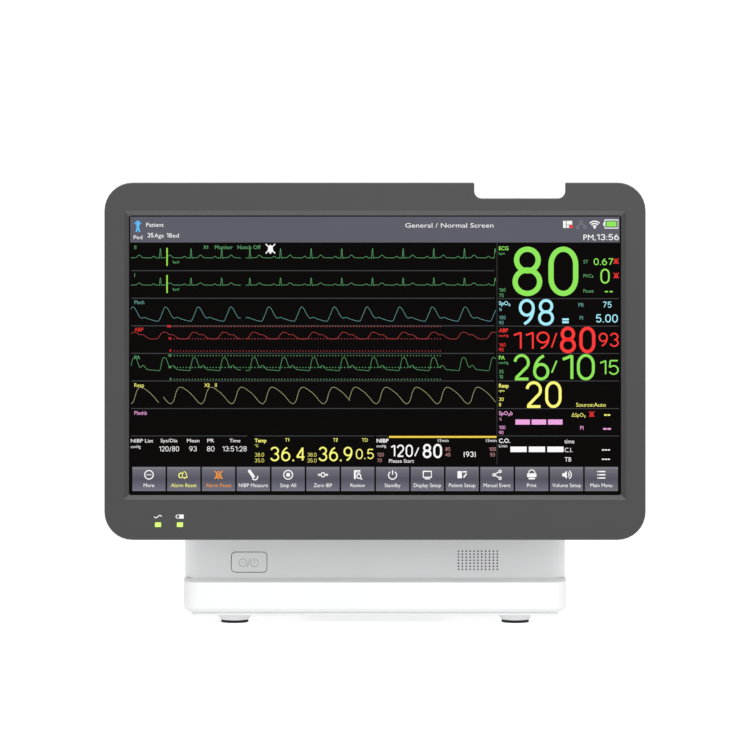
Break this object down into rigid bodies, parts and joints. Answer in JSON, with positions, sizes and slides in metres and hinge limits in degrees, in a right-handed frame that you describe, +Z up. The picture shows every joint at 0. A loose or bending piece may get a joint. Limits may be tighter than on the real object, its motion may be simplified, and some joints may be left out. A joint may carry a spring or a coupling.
{
  "type": "patient monitor",
  "caption": "Bedside patient monitor: wide touch display on a host box with plug-in measurement modules, strip recorder, battery bay, alarm lamp and a base tray on rubber feet.",
  "frame": {"origin": "middle of the footprint, on the floor under the feet", "axes": "+Z up; the screen faces -Y; +X is to the right as seen by someone who looks at the screen"},
  "size_m": [0.452, 0.1866, 0.3695],
  "materials": {
    "white_shell": "fine satin, light grey-white",
    "charcoal_frame": "satin, dark grey",
    "grey_plastic": "satin",
    "black_plastic": "satin",
    "lamp_lens": "milky",
    "green_lens": "clear tinted",
    "screen_glass": "dark, low reflection",
    "panel_black": "satin",
    "panel_white": "satin",
    "aluminium": "mill finish",
    "rubber": "matt",
    "sheet_metal": "zinc plated",
    "circuit_board": "solder mask",
    "brass": "turned",
    "paper": "plain",
    "battery_wrap": "satin",
    "socket_green": "satin",
    "socket_blue": "satin",
    "socket_red": "satin",
    "socket_brown": "satin"
  },
  "bodies": {
    "host": {"alarm_lamp_board": "circuit_board", "alarm_lamp_lens": "lamp_lens", "backlight_tray": "panel_white", "base_tray": "white_shell", "battery_pack": "battery_wrap", "bottom_cover": "white_shell", "carry_handle": "grey_plastic", "display_chassis": "sheet_metal", "display_rear_cover": "white_shell", "foot_front_left": "grey_plastic", "foot_front_right": "grey_plastic", "foot_pad_front_left": "rubber", "foot_pad_front_right": "rubber", "foot_pad_rear_left": "rubber", "foot_pad_rear_right": "rubber", "foot_rear_left": "grey_plastic", "foot_rear_right": "grey_plastic", "front_frame": "charcoal_frame", "glass_gasket": "rubber", "ground_post": "brass", "heat_sink": "aluminium", "host_chassis": "aluminium", "host_front_shell": "white_shell", "host_rear_shell": "white_shell", "io_panel": "grey_plastic", "lcd_panel": "panel_black", "loudspeaker": "black_plastic", "main_board": "circuit_board", "mains_inlet": "black_plastic", "mounting_plate": "sheet_metal", "network_port": "sheet_metal", "power_key_board": "circuit_board", "power_supply": "circuit_board", "print_head": "black_plastic", "recorder_frame": "white_shell", "status_light_battery": "green_lens", "status_light_mains": "green_lens", "touch_glass": "screen_glass", "usb_port": "sheet_metal", "video_port": "sheet_metal"},
    "power_key": {"power_key": "white_shell"},
    "parameter_module": {"parameter_module": "white_shell", "ecg_socket": "socket_green", "spo2_socket": "socket_blue", "ibp_socket_1": "socket_red", "ibp_socket_2": "socket_red", "temp_socket_1": "socket_brown", "temp_socket_2": "socket_brown", "nibp_nozzle": "brass", "nibp_pump": "sheet_metal"},
    "parameter_module_latch": {"parameter_module_latch": "grey_plastic"},
    "auxiliary_module": {"auxiliary_module": "white_shell", "cardiac_output_socket": "socket_brown", "second_spo2_socket": "socket_blue"},
    "auxiliary_module_latch": {"auxiliary_module_latch": "grey_plastic"},
    "recorder_door": {"recorder_door": "white_shell"},
    "platen_roller": {"platen_roller": "rubber"},
    "paper_roll": {"paper_roll": "paper"},
    "recorder_release": {"recorder_release": "grey_plastic"},
    "battery_door": {"battery_door": "white_shell"}
  },
  "joints": [
    {"name": "power_key_press", "type": "slide", "parent": "host", "child": "power_key", "axis": [0, 1, 0], "range_m": [0, 0.0012], "stiffness_N_per_m": 900},
    {"name": "parameter_module_slide", "type": "slide", "parent": "host", "child": "parameter_module", "axis": [-1, 0, 0], "range_m": [0, 0.09]},
    {"name": "parameter_module_latch_lift", "type": "slide", "parent": "parameter_module", "child": "parameter_module_latch", "axis": [0, 0, 1], "range_m": [0, 0.0022], "stiffness_N_per_m": 500},
    {"name": "auxiliary_module_slide", "type": "slide", "parent": "host", "child": "auxiliary_module", "axis": [-1, 0, 0], "range_m": [0, 0.09]},
    {"name": "auxiliary_module_latch_lift", "type": "slide", "parent": "auxiliary_module", "child": "auxiliary_module_latch", "axis": [0, 0, 1], "range_m": [0, 0.0022], "stiffness_N_per_m": 500},
    {"name": "recorder_door_swing", "type": "hinge", "parent": "host", "child": "recorder_door", "pos_m": [0.161, 0.0313, 0.1568], "axis": [0, 1, 0], "range_deg": [0, 85]},
    {"name": "recorder_release_press", "type": "slide", "parent": "host", "child": "recorder_release", "axis": [-1, 0, 0], "range_m": [0, 0.002], "stiffness_N_per_m": 500},
    {"name": "platen_turn", "type": "hinge", "parent": "recorder_door", "child": "platen_roller", "pos_m": [0.153, 0.0313, 0.2078], "axis": [0, 1, 0], "continuous": true},
    {"name": "paper_roll_turn", "type": "hinge", "parent": "host", "child": "paper_roll", "pos_m": [0.1215, 0.0313, 0.1778], "axis": [0, 1, 0], "continuous": true},
    {"name": "battery_door_swing", "type": "hinge", "parent": "host", "child": "battery_door", "pos_m": [0.16125, 0.0313, 0.05155], "axis": [0, 1, 0], "range_deg": [0, 100]}
  ],
  "couplings": [
    {"joint": "platen_turn", "follows": "paper_roll_turn", "ratio": 3.8}
  ]
}
